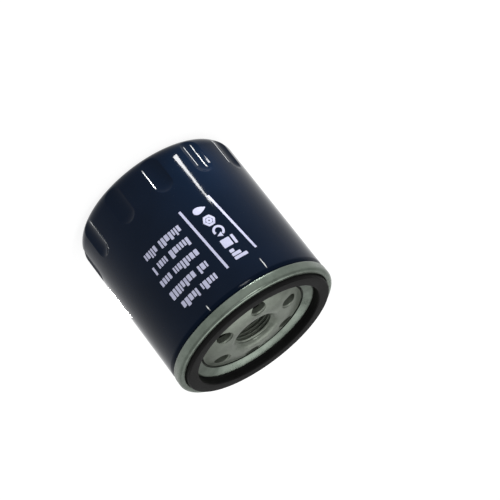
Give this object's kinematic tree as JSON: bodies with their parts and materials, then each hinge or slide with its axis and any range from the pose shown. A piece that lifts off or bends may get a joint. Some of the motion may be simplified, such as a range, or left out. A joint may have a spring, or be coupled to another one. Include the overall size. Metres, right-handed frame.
{
  "type": "spin-on oil filter",
  "caption": "Spin-on engine oil filter: painted steel can with wrench flutes, gasketed threaded base, pleated element, anti-drain and bypass valves.",
  "frame": {"origin": "centre of the closed end's resting face", "axes": "+Z along the filter's axis, from the closed end towards the threaded base and the engine"},
  "size_m": [0.0764, 0.0764, 0.08],
  "materials": {
    "can_paint": "gloss",
    "plated_lid": "satin",
    "base_steel": "satin",
    "gasket_rubber": "matte",
    "valve_rubber": "matte",
    "seam_compound": "matte",
    "pressed_steel": "satin",
    "filter_paper": "matte",
    "potting": "satin",
    "spring_steel": "satin"
  },
  "bodies": {
    "housing": {"can": "can_paint", "seam_lid": "plated_lid", "seam_sealant": "seam_compound", "tapping_plate": "base_steel", "mounting_gasket": "gasket_rubber", "drain_valve_hub": "valve_rubber", "support_spring": "spring_steel"},
    "element": {"base_end_cap": "pressed_steel", "dome_end_cap": "pressed_steel", "base_potting": "potting", "dome_potting": "potting", "filter_media": "filter_paper", "media_clip": "pressed_steel", "centre_tube": "pressed_steel", "bypass_seat": "pressed_steel", "bypass_cage": "pressed_steel", "bypass_spring": "spring_steel"},
    "bypass_valve": {"bypass_poppet": "pressed_steel", "bypass_seal": "valve_rubber"},
    "drain_valve": {"drain_valve_flap": "valve_rubber"}
  },
  "joints": [
    {"name": "element_float", "type": "slide", "parent": "housing", "child": "element", "axis": [0, 0, -1], "range_m": [0, 0.001], "stiffness_N_per_m": 3000, "springref_m": -0.005, "deforming": ["support_spring"]},
    {"name": "bypass_open", "type": "slide", "parent": "element", "child": "bypass_valve", "axis": [0, 0, 1], "range_m": [0, 0.003], "stiffness_N_per_m": 1500, "springref_m": -0.003, "deforming": ["bypass_spring"]},
    {"name": "drain_valve_open", "type": "slide", "parent": "housing", "child": "drain_valve", "axis": [0, 0, -1], "range_m": [0, 0.0015], "stiffness_N_per_m": 400, "springref_m": -0.001}
  ]
}
